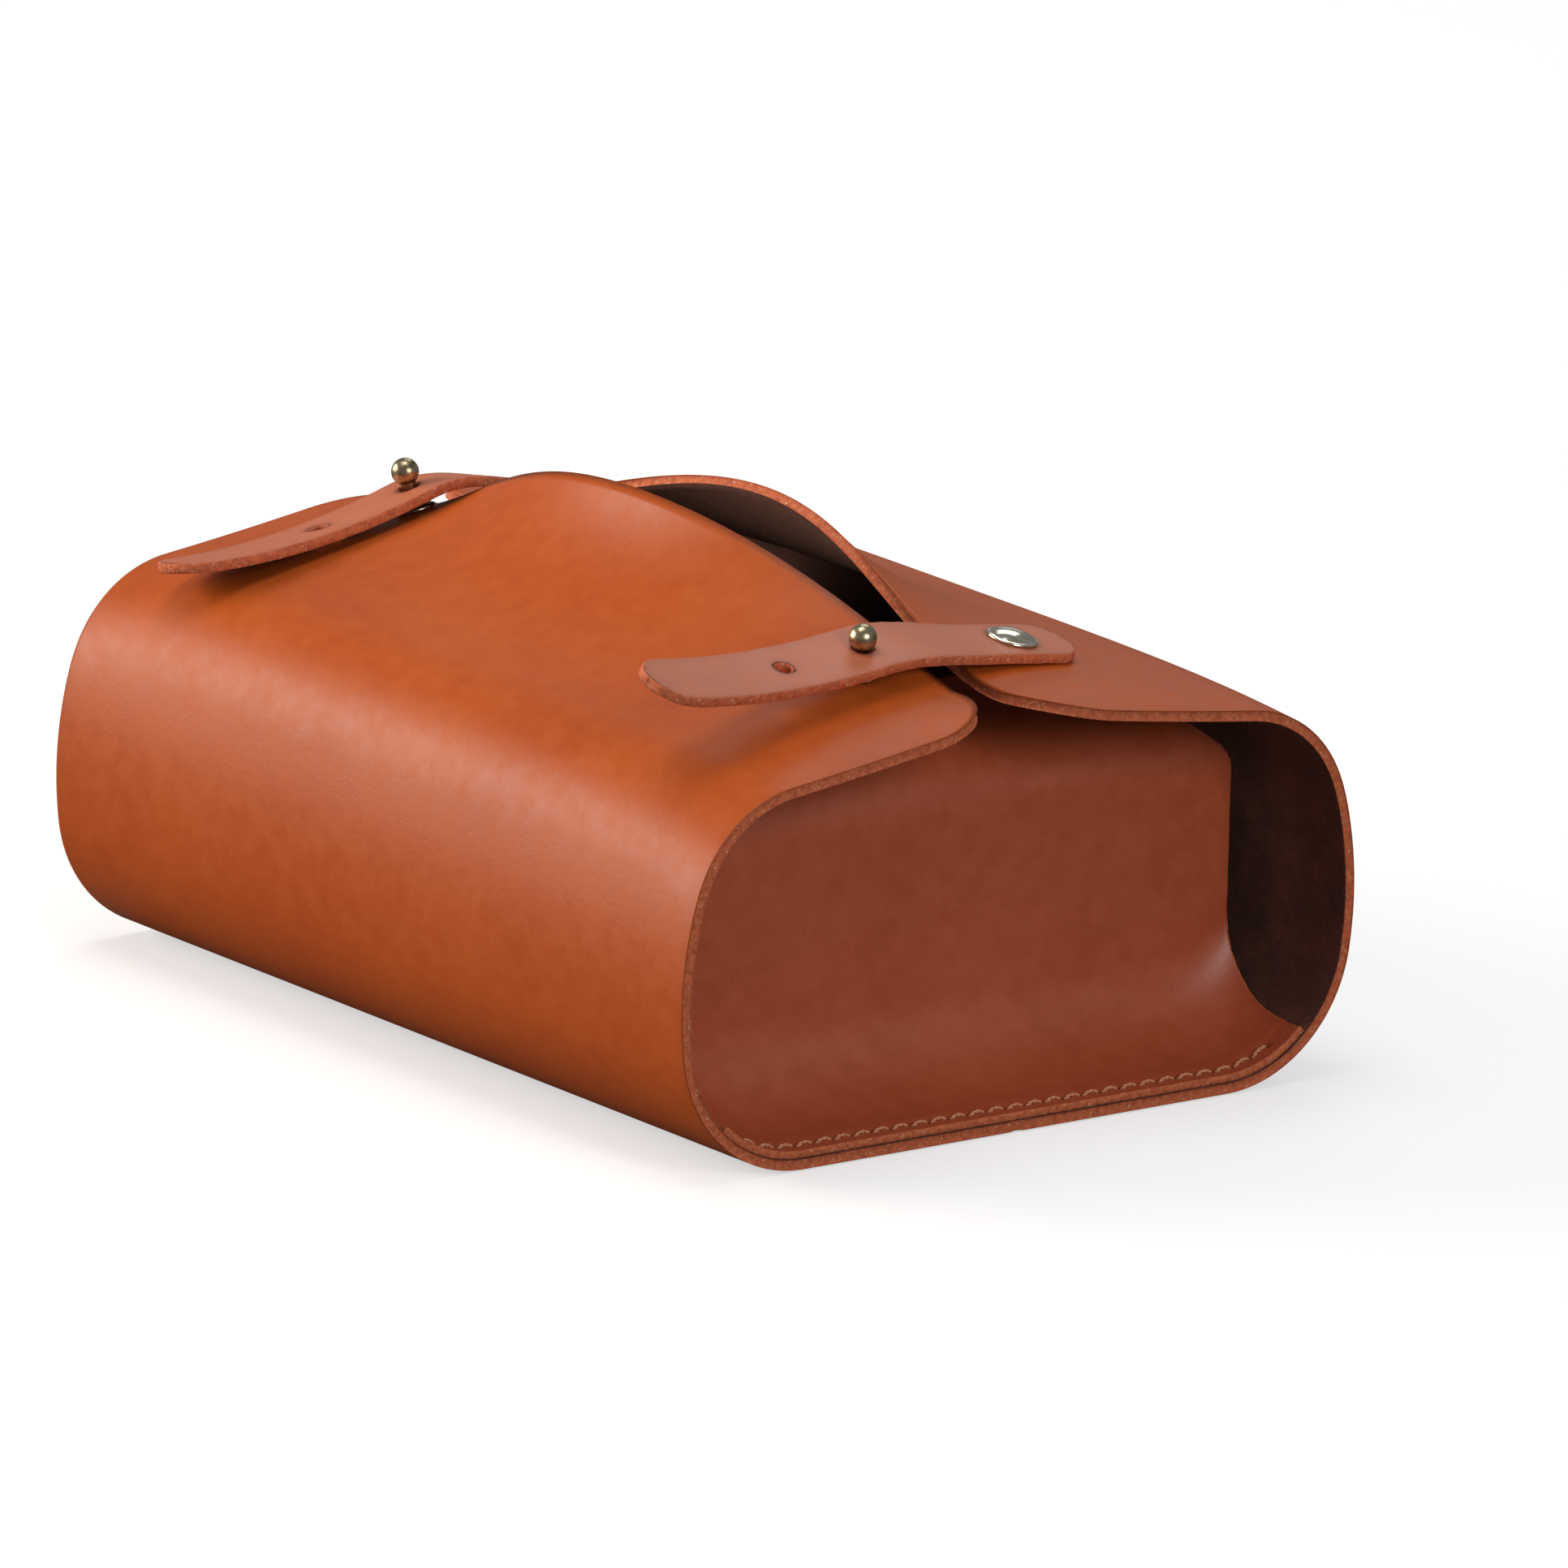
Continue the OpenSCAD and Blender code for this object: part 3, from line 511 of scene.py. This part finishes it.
def turned(name, profile, at, axis, material, segments=64):
    """A turned piece: profile holds (radius, height) from its foot to its top."""
    profile = np.array(profile)
    angles = np.linspace(0, 2 * np.pi, segments, endpoint=False)
    ring = np.stack([np.cos(angles), np.sin(angles)], -1)
    points = np.concatenate([np.c_[ring * r, np.full(segments, h)] for r, h in profile])
    faces = []
    for k in range(len(profile) - 1):
        for j in range(segments):
            n = (j + 1) % segments
            faces.append([k * segments + j, k * segments + n,
                          (k + 1) * segments + n, (k + 1) * segments + j])
    faces.append(list(range(segments))[::-1])
    faces.append([(len(profile) - 1) * segments + j for j in range(segments)])
    turn = Vector((0, 0, 1)).rotation_difference(Vector(axis)).to_matrix()
    placed = points @ np.array(turn).T + np.asarray(at)
    return mesh_piece(name, placed, faces, [material])


def rounded_run(corners, radius, steps=5):
    """A profile whose inner corners are rounded off."""
    corners = [np.array(c, float) for c in corners]
    out = [corners[0]]
    for a, b, c in zip(corners, corners[1:], corners[2:]):
        r = min(radius, np.linalg.norm(b - a) / 2.2, np.linalg.norm(c - b) / 2.2)
        p, q = b + (a - b) / np.linalg.norm(a - b) * r, b + (c - b) / np.linalg.norm(c - b) * r
        for t in np.linspace(0, 1, steps):
            out.append((1 - t) ** 2 * p + 2 * t * (1 - t) * b + t ** 2 * q)
    out.append(corners[-1])
    return [tuple(p) for p in out]


def arc_run(radius, height, start, stop, steps):
    angles = np.linspace(math.radians(start), math.radians(stop), steps)
    return [(radius * math.cos(a), height + radius * math.sin(a)) for a in angles]


def cap_profile():
    """Pressed rivet cap: a rolled rim, a slight moat, then the dome."""
    rim = rounded_run([(1.6, 0.0), (4.3, 0.0), (4.5, 0.22), (4.38, 0.5), (4.12, 0.58)], 0.12)
    dome_r = (4.0 ** 2 + 1.12 ** 2) / (2 * 1.12)
    dome = []
    for r in np.linspace(4.0, 0.02, 26):
        dome.append((r, 0.58 + math.sqrt(dome_r ** 2 - r ** 2) - (dome_r - 1.12)))
    return rim + dome


def stud_profile():
    height = BALL_H - CURVE_GAP
    foot = rounded_run([(0.9, 0.0), (3.35, 0.0), (3.5, 0.2), (3.4, 0.55), (2.2, 0.8),
                        (1.32, 1.0), (1.3, height - 2.05)], 0.15)
    return foot + arc_run(BALL_R, height, -56, 89.4, 34)


def screw_profile():
    return rounded_run([(0.02, 4.9), (0.72, 4.9), (0.72, 0.05), (3.2, 0.0), (3.5, -0.25),
                        (3.35, -1.0), (2.9, -1.2), (0.02, -1.2)][::-1], 0.12)


# Stitches: two-ply waxed thread, one slanted stitch from needle hole to needle hole

def seam_place(l, lift, under=False):
    """A point on the seam at a distance l along it, above the foot or below the wrap."""
    radius = BOTTOM_R - lift if under else FOOT_R - lift
    a = max(0.0, abs(l) - BOTTOM_HALF) / (BOTTOM_R if under else FOOT_R)
    y = math.copysign(min(abs(l), BOTTOM_HALF) + radius * math.sin(a), l)
    return y, BOTTOM_R - radius * math.cos(a)


def seam_stitches(name, end, material):
    points, faces = [], []
    sides, steps = 7, 22
    for under in (False, True):
        for k in range(STITCHES):
            l0 = (k - STITCHES / 2) * STITCH_PITCH
            wobble = 0.05 * math.sin(k * 2.3 + under)
            path = []
            for t in np.linspace(0, 1, steps):
                arch = math.sin(math.pi * t) ** 0.55
                if under:
                    lift = 0.72 - 0.34 * arch
                else:
                    lift = -0.35 + 0.62 * arch
                y, z = seam_place(l0 + 0.35 + (STITCH_PITCH - 0.7) * t, lift, under)
                slant = (0.5 - t) * (-0.372 if under else 0.62) + wobble
                path.append((SEAM_X + slant, y, z))
            path = np.array(path)
            ahead = unit(np.gradient(path, axis=0))
            side = unit(np.cross(ahead, [1.0, 0.0, 0.0]))
            other = np.cross(ahead, side)
            for ply in (0, math.pi):
                twist = ply + np.linspace(0, 3.2 * math.pi, steps)
                around = np.cos(twist)[:, None] * side + np.sin(twist)[:, None] * other
                mid = path + PLY_OFFSET * around
                start = len(points)
                for i in range(steps):
                    for j in range(sides):
                        a = 2 * math.pi * j / sides
                        points.append(mid[i] + PLY_R * (math.cos(a) * side[i]
                                                        + math.sin(a) * other[i]))
                for i in range(steps - 1):
                    for j in range(sides):
                        n = (j + 1) % sides
                        faces.append([start + i * sides + j, start + i * sides + n,
                                      start + (i + 1) * sides + n, start + (i + 1) * sides + j])
                faces.append([start + j for j in range(sides)][::-1])
                faces.append([start + (steps - 1) * sides + j for j in range(sides)])
    flip = np.array([end, 1, 1])
    if end < 0:
        faces = [f[::-1] for f in faces]
    return mesh_piece(name, np.array(points) * flip, faces, [material])


# Materials

def colour(hex_code):
    """The linear colour of an sRGB hex code."""
    parts = [int(hex_code[i:i + 2], 16) / 255 for i in (1, 3, 5)]
    return [p / 12.92 if p <= 0.04045 else ((p + 0.055) / 1.055) ** 2.4 for p in parts] + [1.0]


def add(tree, kind, inputs=None, **settings):
    """Adds a node. inputs maps a socket's name or number to a value or to another socket."""
    made = tree.nodes.new(kind)
    for name, value in settings.items():
        setattr(made, name, value)
    for name, value in (inputs or {}).items():
        if isinstance(value, bpy.types.NodeSocket):
            tree.links.new(value, made.inputs[name])
        else:
            made.inputs[name].default_value = value
    return made


def finish_material(name, surface_of):
    material = bpy.data.materials.new(name)
    material.use_nodes = True
    tree = material.node_tree
    tree.nodes.clear()
    end = tree.nodes.new("ShaderNodeOutputMaterial")
    tree.links.new(surface_of(tree), end.inputs["Surface"])
    return material


def ramp(tree, factor, stops):
    made = add(tree, "ShaderNodeValToRGB", {"Fac": factor})
    elements = made.color_ramp.elements
    while len(elements) < len(stops):
        elements.new(0.5)
    for element, (place, value) in zip(elements, stops):
        element.position = place
        element.color = value
    return made.outputs["Color"]


def grey(value):
    return [value, value, value, 1.0]


def grain_leather(name, mid, deep, pale, worn, roughness, shine):
    """Vegetable tanned leather with its smooth, waxed grain side out.

    Dye takes unevenly over a few centimetres, the grain is a fine net of cells about 0.6 mm
    wide, and the polished surface shines softly. Cut edges are rubbed darker, and painted shade
    darkens the needle dimples, the seam groove and the rings round holes and rivets.
    """
    def surface(tree):
        place = add(tree, "ShaderNodeTexCoord").outputs["Object"]
        cloud = add(tree, "ShaderNodeTexNoise", {"Vector": place, "Scale": 28.0, "Detail": 3.0,
                                                 "Roughness": 0.55}).outputs["Fac"]
        mottle = add(tree, "ShaderNodeTexNoise", {"Vector": place, "Scale": 240.0, "Detail": 4.0,
                                                  "Roughness": 0.6}).outputs["Fac"]
        blend = add(tree, "ShaderNodeMath", {0: cloud, 1: mottle}, operation="ADD").outputs[0]
        half = add(tree, "ShaderNodeMath", {0: blend, 1: 0.5}, operation="MULTIPLY").outputs[0]
        dye = ramp(tree, half, [(0.36, colour(deep)), (0.5, colour(mid)), (0.66, colour(pale))])
        near_edge = add(tree, "ShaderNodeAttribute", attribute_name="edge_distance").outputs["Fac"]
        rub = add(tree, "ShaderNodeMapRange", {"Value": near_edge, "From Min": 0.0,
                                               "From Max": 2.2, "To Min": 0.55, "To Max": 0.0})
        rubbed = add(tree, "ShaderNodeMath", {0: rub.outputs[0], 1: mottle},
                     operation="MULTIPLY").outputs[0]
        at_edge = add(tree, "ShaderNodeMix", {0: rubbed, 6: dye, 7: colour(worn)},
                      data_type="RGBA").outputs[2]
        # Painted shade: the needle dimples, the seam groove and the rings round holes and rivets are
        # darkened towards #3A150A
        hollow_shade_fac = add(tree, "ShaderNodeAttribute", attribute_name="painted_hollow_shade").outputs["Fac"]
        pressed = add(tree, "ShaderNodeMath", {0: hollow_shade_fac, 1: 0.75}, operation="MULTIPLY")
        shaded_in_hollows = add(tree, "ShaderNodeMix", {0: pressed.outputs[0], 6: at_edge,
                                               7: colour("#3A150A")}, data_type="RGBA").outputs[2]
        # 0.6 mm cells, with 1.6 mm creases a little deeper
        cells = add(tree, "ShaderNodeTexVoronoi", {"Vector": place, "Scale": 1650.0},
                    feature="F1").outputs["Distance"]
        creases = add(tree, "ShaderNodeTexNoise", {"Vector": place, "Scale": 620.0,
                                                   "Detail": 3.0}).outputs["Fac"]
        relief = add(tree, "ShaderNodeMath", {0: cells, 1: 0.35}, operation="MULTIPLY").outputs[0]
        height = add(tree, "ShaderNodeMath", {0: relief, 1: creases}, operation="ADD").outputs[0]
        bump = add(tree, "ShaderNodeBump", {"Height": height, "Strength": 0.16,
                                            "Distance": 0.0002}).outputs["Normal"]
        gloss = add(tree, "ShaderNodeMapRange", {"Value": mottle, "From Min": 0.3,
                                                 "From Max": 0.7, "To Min": roughness - 0.05,
                                                 "To Max": roughness + 0.07}).outputs[0]
        return add(tree, "ShaderNodeBsdfPrincipled", {
            "Base Color": shaded_in_hollows, "Roughness": gloss, "Normal": bump,
            "IOR": 1.5, "Specular IOR Level": shine}).outputs[0]
    return finish_material(name, surface)


def suede_leather(name, mid, deep, pale):
    """The rough flesh side of the hide: a short nap of fibres about 0.3 mm across, quite matt."""
    def surface(tree):
        place = add(tree, "ShaderNodeTexCoord").outputs["Object"]
        patches = add(tree, "ShaderNodeTexNoise", {"Vector": place, "Scale": 130.0, "Detail": 4.0,
                                                   "Roughness": 0.65}).outputs["Fac"]
        fibres = add(tree, "ShaderNodeTexNoise", {"Vector": place, "Scale": 2600.0, "Detail": 3.0,
                                                  "Distortion": 1.2}).outputs["Fac"]
        both = add(tree, "ShaderNodeMath", {0: patches, 1: fibres}, operation="ADD").outputs[0]
        half = add(tree, "ShaderNodeMath", {0: both, 1: 0.5}, operation="MULTIPLY").outputs[0]
        nap = ramp(tree, half, [(0.38, colour(deep)), (0.5, colour(mid)), (0.66, colour(pale))])
        bump = add(tree, "ShaderNodeBump", {"Height": half, "Strength": 0.7,
                                            "Distance": 0.0004}).outputs["Normal"]
        return add(tree, "ShaderNodeBsdfPrincipled", {
            "Base Color": nap, "Roughness": 0.94, "Normal": bump, "IOR": 1.5,
            "Sheen Weight": 0.25, "Sheen Roughness": 0.6,
            "Sheen Tint": colour("#D9A184")}).outputs[0]
    return finish_material(name, surface)


def cut_edge(name, mid, deep, fibre):
    """The hide's cut edge, dyed through, with loose pale fibres about 0.3 mm apart."""
    def surface(tree):
        place = add(tree, "ShaderNodeTexCoord").outputs["Object"]
        body = add(tree, "ShaderNodeTexNoise", {"Vector": place, "Scale": 900.0,
                                                "Detail": 4.0}).outputs["Fac"]
        base = ramp(tree, body, [(0.35, colour(deep)), (0.62, colour(mid))])
        specks = add(tree, "ShaderNodeTexNoise", {"Vector": place, "Scale": 2100.0, "Detail": 2.0,
                                                  "Distortion": 0.8}).outputs["Fac"]
        loose = ramp(tree, specks, [(0.64, grey(0)), (0.72, grey(1))])
        mixed = add(tree, "ShaderNodeMix", {0: loose, 6: base, 7: colour(fibre)},
                    data_type="RGBA").outputs[2]
        bump = add(tree, "ShaderNodeBump", {"Height": body, "Strength": 0.8,
                                            "Distance": 0.0003}).outputs["Normal"]
        return add(tree, "ShaderNodeBsdfPrincipled", {
            "Base Color": mixed, "Roughness": 0.85, "Normal": bump,
            "IOR": 1.5}).outputs[0]
    return finish_material(name, surface)


def waxed_thread(name, mid, deep):
    """Waxed polyester thread: fine filaments, 0.1 mm apart, with a soft waxy shine."""
    def surface(tree):
        place = add(tree, "ShaderNodeTexCoord").outputs["Object"]
        fine = add(tree, "ShaderNodeTexNoise", {"Vector": place, "Scale": 4200.0,
                                                "Detail": 2.0}).outputs["Fac"]
        tone = ramp(tree, fine, [(0.35, colour(deep)), (0.6, colour(mid))])
        bump = add(tree, "ShaderNodeBump", {"Height": fine, "Strength": 0.5,
                                            "Distance": 0.0001}).outputs["Normal"]
        return add(tree, "ShaderNodeBsdfPrincipled", {
            "Base Color": tone, "Roughness": 0.5, "Normal": bump, "IOR": 1.5}).outputs[0]
    return finish_material(name, surface)


def plated_brass(name, bright, dull, roughness):
    """Brass plated over pressed steel, in a pale antique gold that has gone dull in random patches.
    """
    def surface(tree):
        place = add(tree, "ShaderNodeTexCoord").outputs["Object"]
        stain = add(tree, "ShaderNodeTexNoise", {"Vector": place, "Scale": 700.0, "Detail": 4.0,
                                                 "Roughness": 0.6}).outputs["Fac"]
        tone = ramp(tree, stain, [(0.38, colour(dull)), (0.56, colour(bright))])
        gloss = add(tree, "ShaderNodeMapRange", {"Value": stain, "From Min": 0.35,
                                                 "From Max": 0.65, "To Min": roughness + 0.08,
                                                 "To Max": roughness}).outputs[0]
        return add(tree, "ShaderNodeBsdfPrincipled", {
            "Base Color": tone, "Metallic": 1.0, "Roughness": gloss}).outputs[0]
    return finish_material(name, surface)


# Camera

def photograph_camera():
    a, e, r = (math.radians(v) for v in (AZIMUTH, ELEVATION, ROLL))
    right = np.array([math.cos(a), math.sin(a), 0])
    back = np.array([math.sin(a) * math.cos(e), -math.cos(a) * math.cos(e), math.sin(e)])
    up = np.cross(back, right)
    across = math.cos(r) * right + math.sin(r) * up
    upward = math.cos(r) * up - math.sin(r) * right
    middle = PICTURE_PIXELS / 2
    aside = (ORIGIN_PIXEL[0] - middle) * DISTANCE / FOCAL_PIXELS
    below = -(ORIGIN_PIXEL[1] - middle) * DISTANCE / FOCAL_PIXELS
    place = -aside * across - below * upward + DISTANCE * back
    camera = bpy.data.objects.new("camera", bpy.data.cameras.new("camera"))
    bpy.context.scene.collection.objects.link(camera)
    camera.matrix_world = Matrix([[across[i], upward[i], back[i], place[i] * MM]
                                  for i in range(3)] + [[0, 0, 0, 1]])
    camera.data.sensor_width = 36.0
    camera.data.sensor_fit = "HORIZONTAL"
    camera.data.lens = 36.0 * FOCAL_PIXELS / PICTURE_PIXELS
    camera.data.clip_end = 50.0
    bpy.context.scene.camera = camera


def soft_light(name, at, towards, width, height, watts, tint):
    lamp = bpy.data.lights.new(name, "AREA")
    lamp.shape = "RECTANGLE"
    lamp.size, lamp.size_y = width, height
    lamp.energy = watts
    lamp.color = colour(tint)[:3]
    holder = bpy.data.objects.new(name, lamp)
    holder.location = at
    holder.rotation_euler = (Vector(towards) - Vector(at)).to_track_quat("-Z", "Y").to_euler()
    bpy.context.scene.collection.objects.link(holder)


def studio():
    floor = bpy.data.meshes.new("studio_floor")
    floor.from_pydata([(-6, -6, 0), (6, -6, 0), (6, 6, 0), (-6, 6, 0)], [], [(0, 1, 2, 3)])
    floor_piece = bpy.data.objects.new("studio_floor", floor)
    floor_piece.location.z = -0.0003
    bpy.context.scene.collection.objects.link(floor_piece)

    def paper(tree):
        """White to the eye, and grey to the light that it sends back up."""
        seen = add(tree, "ShaderNodeLightPath").outputs["Is Camera Ray"]
        bounced = add(tree, "ShaderNodeBsdfDiffuse", {"Color": colour("#6E6E6E")}).outputs[0]
        white = add(tree, "ShaderNodeBsdfDiffuse", {"Color": colour("#C8C8C8")}).outputs[0]
        lift = add(tree, "ShaderNodeEmission", {"Color": colour("#FFFFFF"),
                                                "Strength": 0.55}).outputs[0]
        shown = add(tree, "ShaderNodeAddShader", {0: white, 1: lift}).outputs[0]
        return add(tree, "ShaderNodeMixShader", {0: seen, 1: bounced, 2: shown}).outputs[0]
    floor.materials.append(finish_material("matt_paper_backdrop", paper))

    soft_light("side_softbox", (-1.65, -1.5, 0.70), (0, 0, 0.06), 1.8, 1.1, 58, "#FFF0E2")
    soft_light("fill_softbox", (1.7, -0.1, 0.75), (0, 0, 0.04), 0.8, 0.8, 12, "#FFFFFF")
    soft_light("top_softbox", (-0.1, -0.2, 1.6), (0, 0, 0.05), 0.9, 0.9, 8, "#FFFFFF")
    soft_light("back_softbox", (-0.95, 0.95, 1.3), (0, 0, 0.07), 0.8, 0.6, 3, "#FFFFFF")
    soft_light("low_card", (-1.3, 1.24, 0.55), (0, 0, 0.07), 0.5, 0.35, 0.2, "#FFFFFF")

    world = bpy.data.worlds.new("studio")
    bpy.context.scene.world = world
    world.use_nodes = True
    tree = world.node_tree
    tree.nodes.clear()
    sky = add(tree, "ShaderNodeBackground", {"Color": colour("#FFFFFF"), "Strength": 0.2})
    end = tree.nodes.new("ShaderNodeOutputWorld")
    tree.links.new(sky.outputs[0], end.inputs[0])
    bpy.context.scene.view_settings.view_transform = "Standard"


photograph_camera()
studio()

TAN_GRAIN = grain_leather("tan_vegetable_tanned_grain", "#B5521B", "#B04D19", "#BA571E",
                          "#9A4822", 0.42, 0.22)
# The end panels are the wrap's leather; this copy's bluer, pinker colour is painted sheen, and it
# shines more
PANEL_GRAIN_PAINTED_SHEEN = grain_leather("panel_grain_painted_sheen", "#B25331", "#AB4D2C", "#B85937",
                            "#8F4024", 0.40, 0.5)
# The straps' leather: partly its own lighter tone, and partly painted sheen that makes it lighter
# and pinker
STRAP_TONE_AND_SHEEN_GRAIN = grain_leather("strap_grain_tone_and_painted_sheen", "#BE6C4C", "#B86646", "#C47252",
                            "#9C4C30", 0.38, 0.25)
SUEDE = suede_leather("hide_suede_back", "#4A2016", "#30120C", "#6E3826")
CUT_EDGE = cut_edge("raw_cut_hide_edge", "#CC6C42", "#B05430", "#E6BC9E")
THREAD = waxed_thread("waxed_polyester_thread", "#D99A74", "#B97350")
BRASS = plated_brass("antique_gold_plated_brass", "#C2B594", "#85765A", 0.24)
# The rivet caps' brass, polished; its near-white colour is a painted reflection
CAP_BRASS_PAINTED_REFLECTION = plated_brass("polished_brass_painted_reflection", "#F0EBDC", "#CFC4A6", 0.10)


def place_wrap():
    near = wrap_half("near_wrap_leather", NEAR, [TAN_GRAIN, SUEDE, CUT_EDGE], 3)
    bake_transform(near)
    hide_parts("base_wrap", "near_flap")
    far = wrap_half("far_wrap_leather", FAR, [TAN_GRAIN, SUEDE, CUT_EDGE], 4)
    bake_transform(far)
    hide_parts("base_wrap", "far_flap")


def place_end(word, band):
    end = band["end"]
    panel = end_panel(word + "_panel_leather", end, [PANEL_GRAIN_PAINTED_SHEEN, SUEDE, CUT_EDGE], 7)
    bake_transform(panel)
    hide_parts(word + "_panel_foot", word + "_end_panel", word + "_panel_tab")

    stitches = seam_stitches(word + "_seam_stitches", end, THREAD)
    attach(stitches, "wrap")
    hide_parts(word + "_seam_thread")

    tongue = strap(word + "_strap_leather", band, [STRAP_TONE_AND_SHEEN_GRAIN, SUEDE, CUT_EDGE], 11)
    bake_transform(tongue)
    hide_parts(word + "_strap_root", word + "_strap")

    flip = np.array([end, 1, 1])
    rivet_n, stud_n = RIVET_N * flip, STUD_N * flip
    rivet_at, stud_at = RIVET_AT * flip, STUD_AT * flip
    cap_seat = STRAP_GAP + STRAP_T + SEAT_GAP
    cap = turned(word + "_rivet_cap_dome", cap_profile(), rivet_at + cap_seat * rivet_n, rivet_n,
                 CAP_BRASS_PAINTED_REFLECTION)
    inner_cap = [(r, -h) for r, h in cap_profile()[::-1]]
    shank_top = WRAP_T + CURVE_GAP + cap_seat + 0.4
    shank = rounded_run([(1.5, 0.0), (1.5, shank_top), (0.02, shank_top)], 0.1)
    post = turned(word + "_rivet_post_metal", inner_cap + shank,
                  rivet_at - (WRAP_T + CURVE_GAP) * rivet_n, rivet_n, BRASS)
    for piece, node in ((cap, "_rivet_cap"), (post, "_rivet_post")):
        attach(piece, "far_flap")
        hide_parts(word + node)
    stud = turned(word + "_ball_stud", stud_profile(), stud_at + CURVE_GAP * stud_n, stud_n, BRASS)
    screw = turned(word + "_backing_screw", screw_profile(),
                   stud_at - (WRAP_T + CURVE_GAP) * stud_n, stud_n, BRASS)
    for piece, node in ((stud, "_stud"), (screw, "_stud_screw")):
        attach(piece, "near_flap")
        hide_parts(word + node)


place_wrap()
place_end("front", FRONT_BAND)
place_end("rear", REAR_BAND)
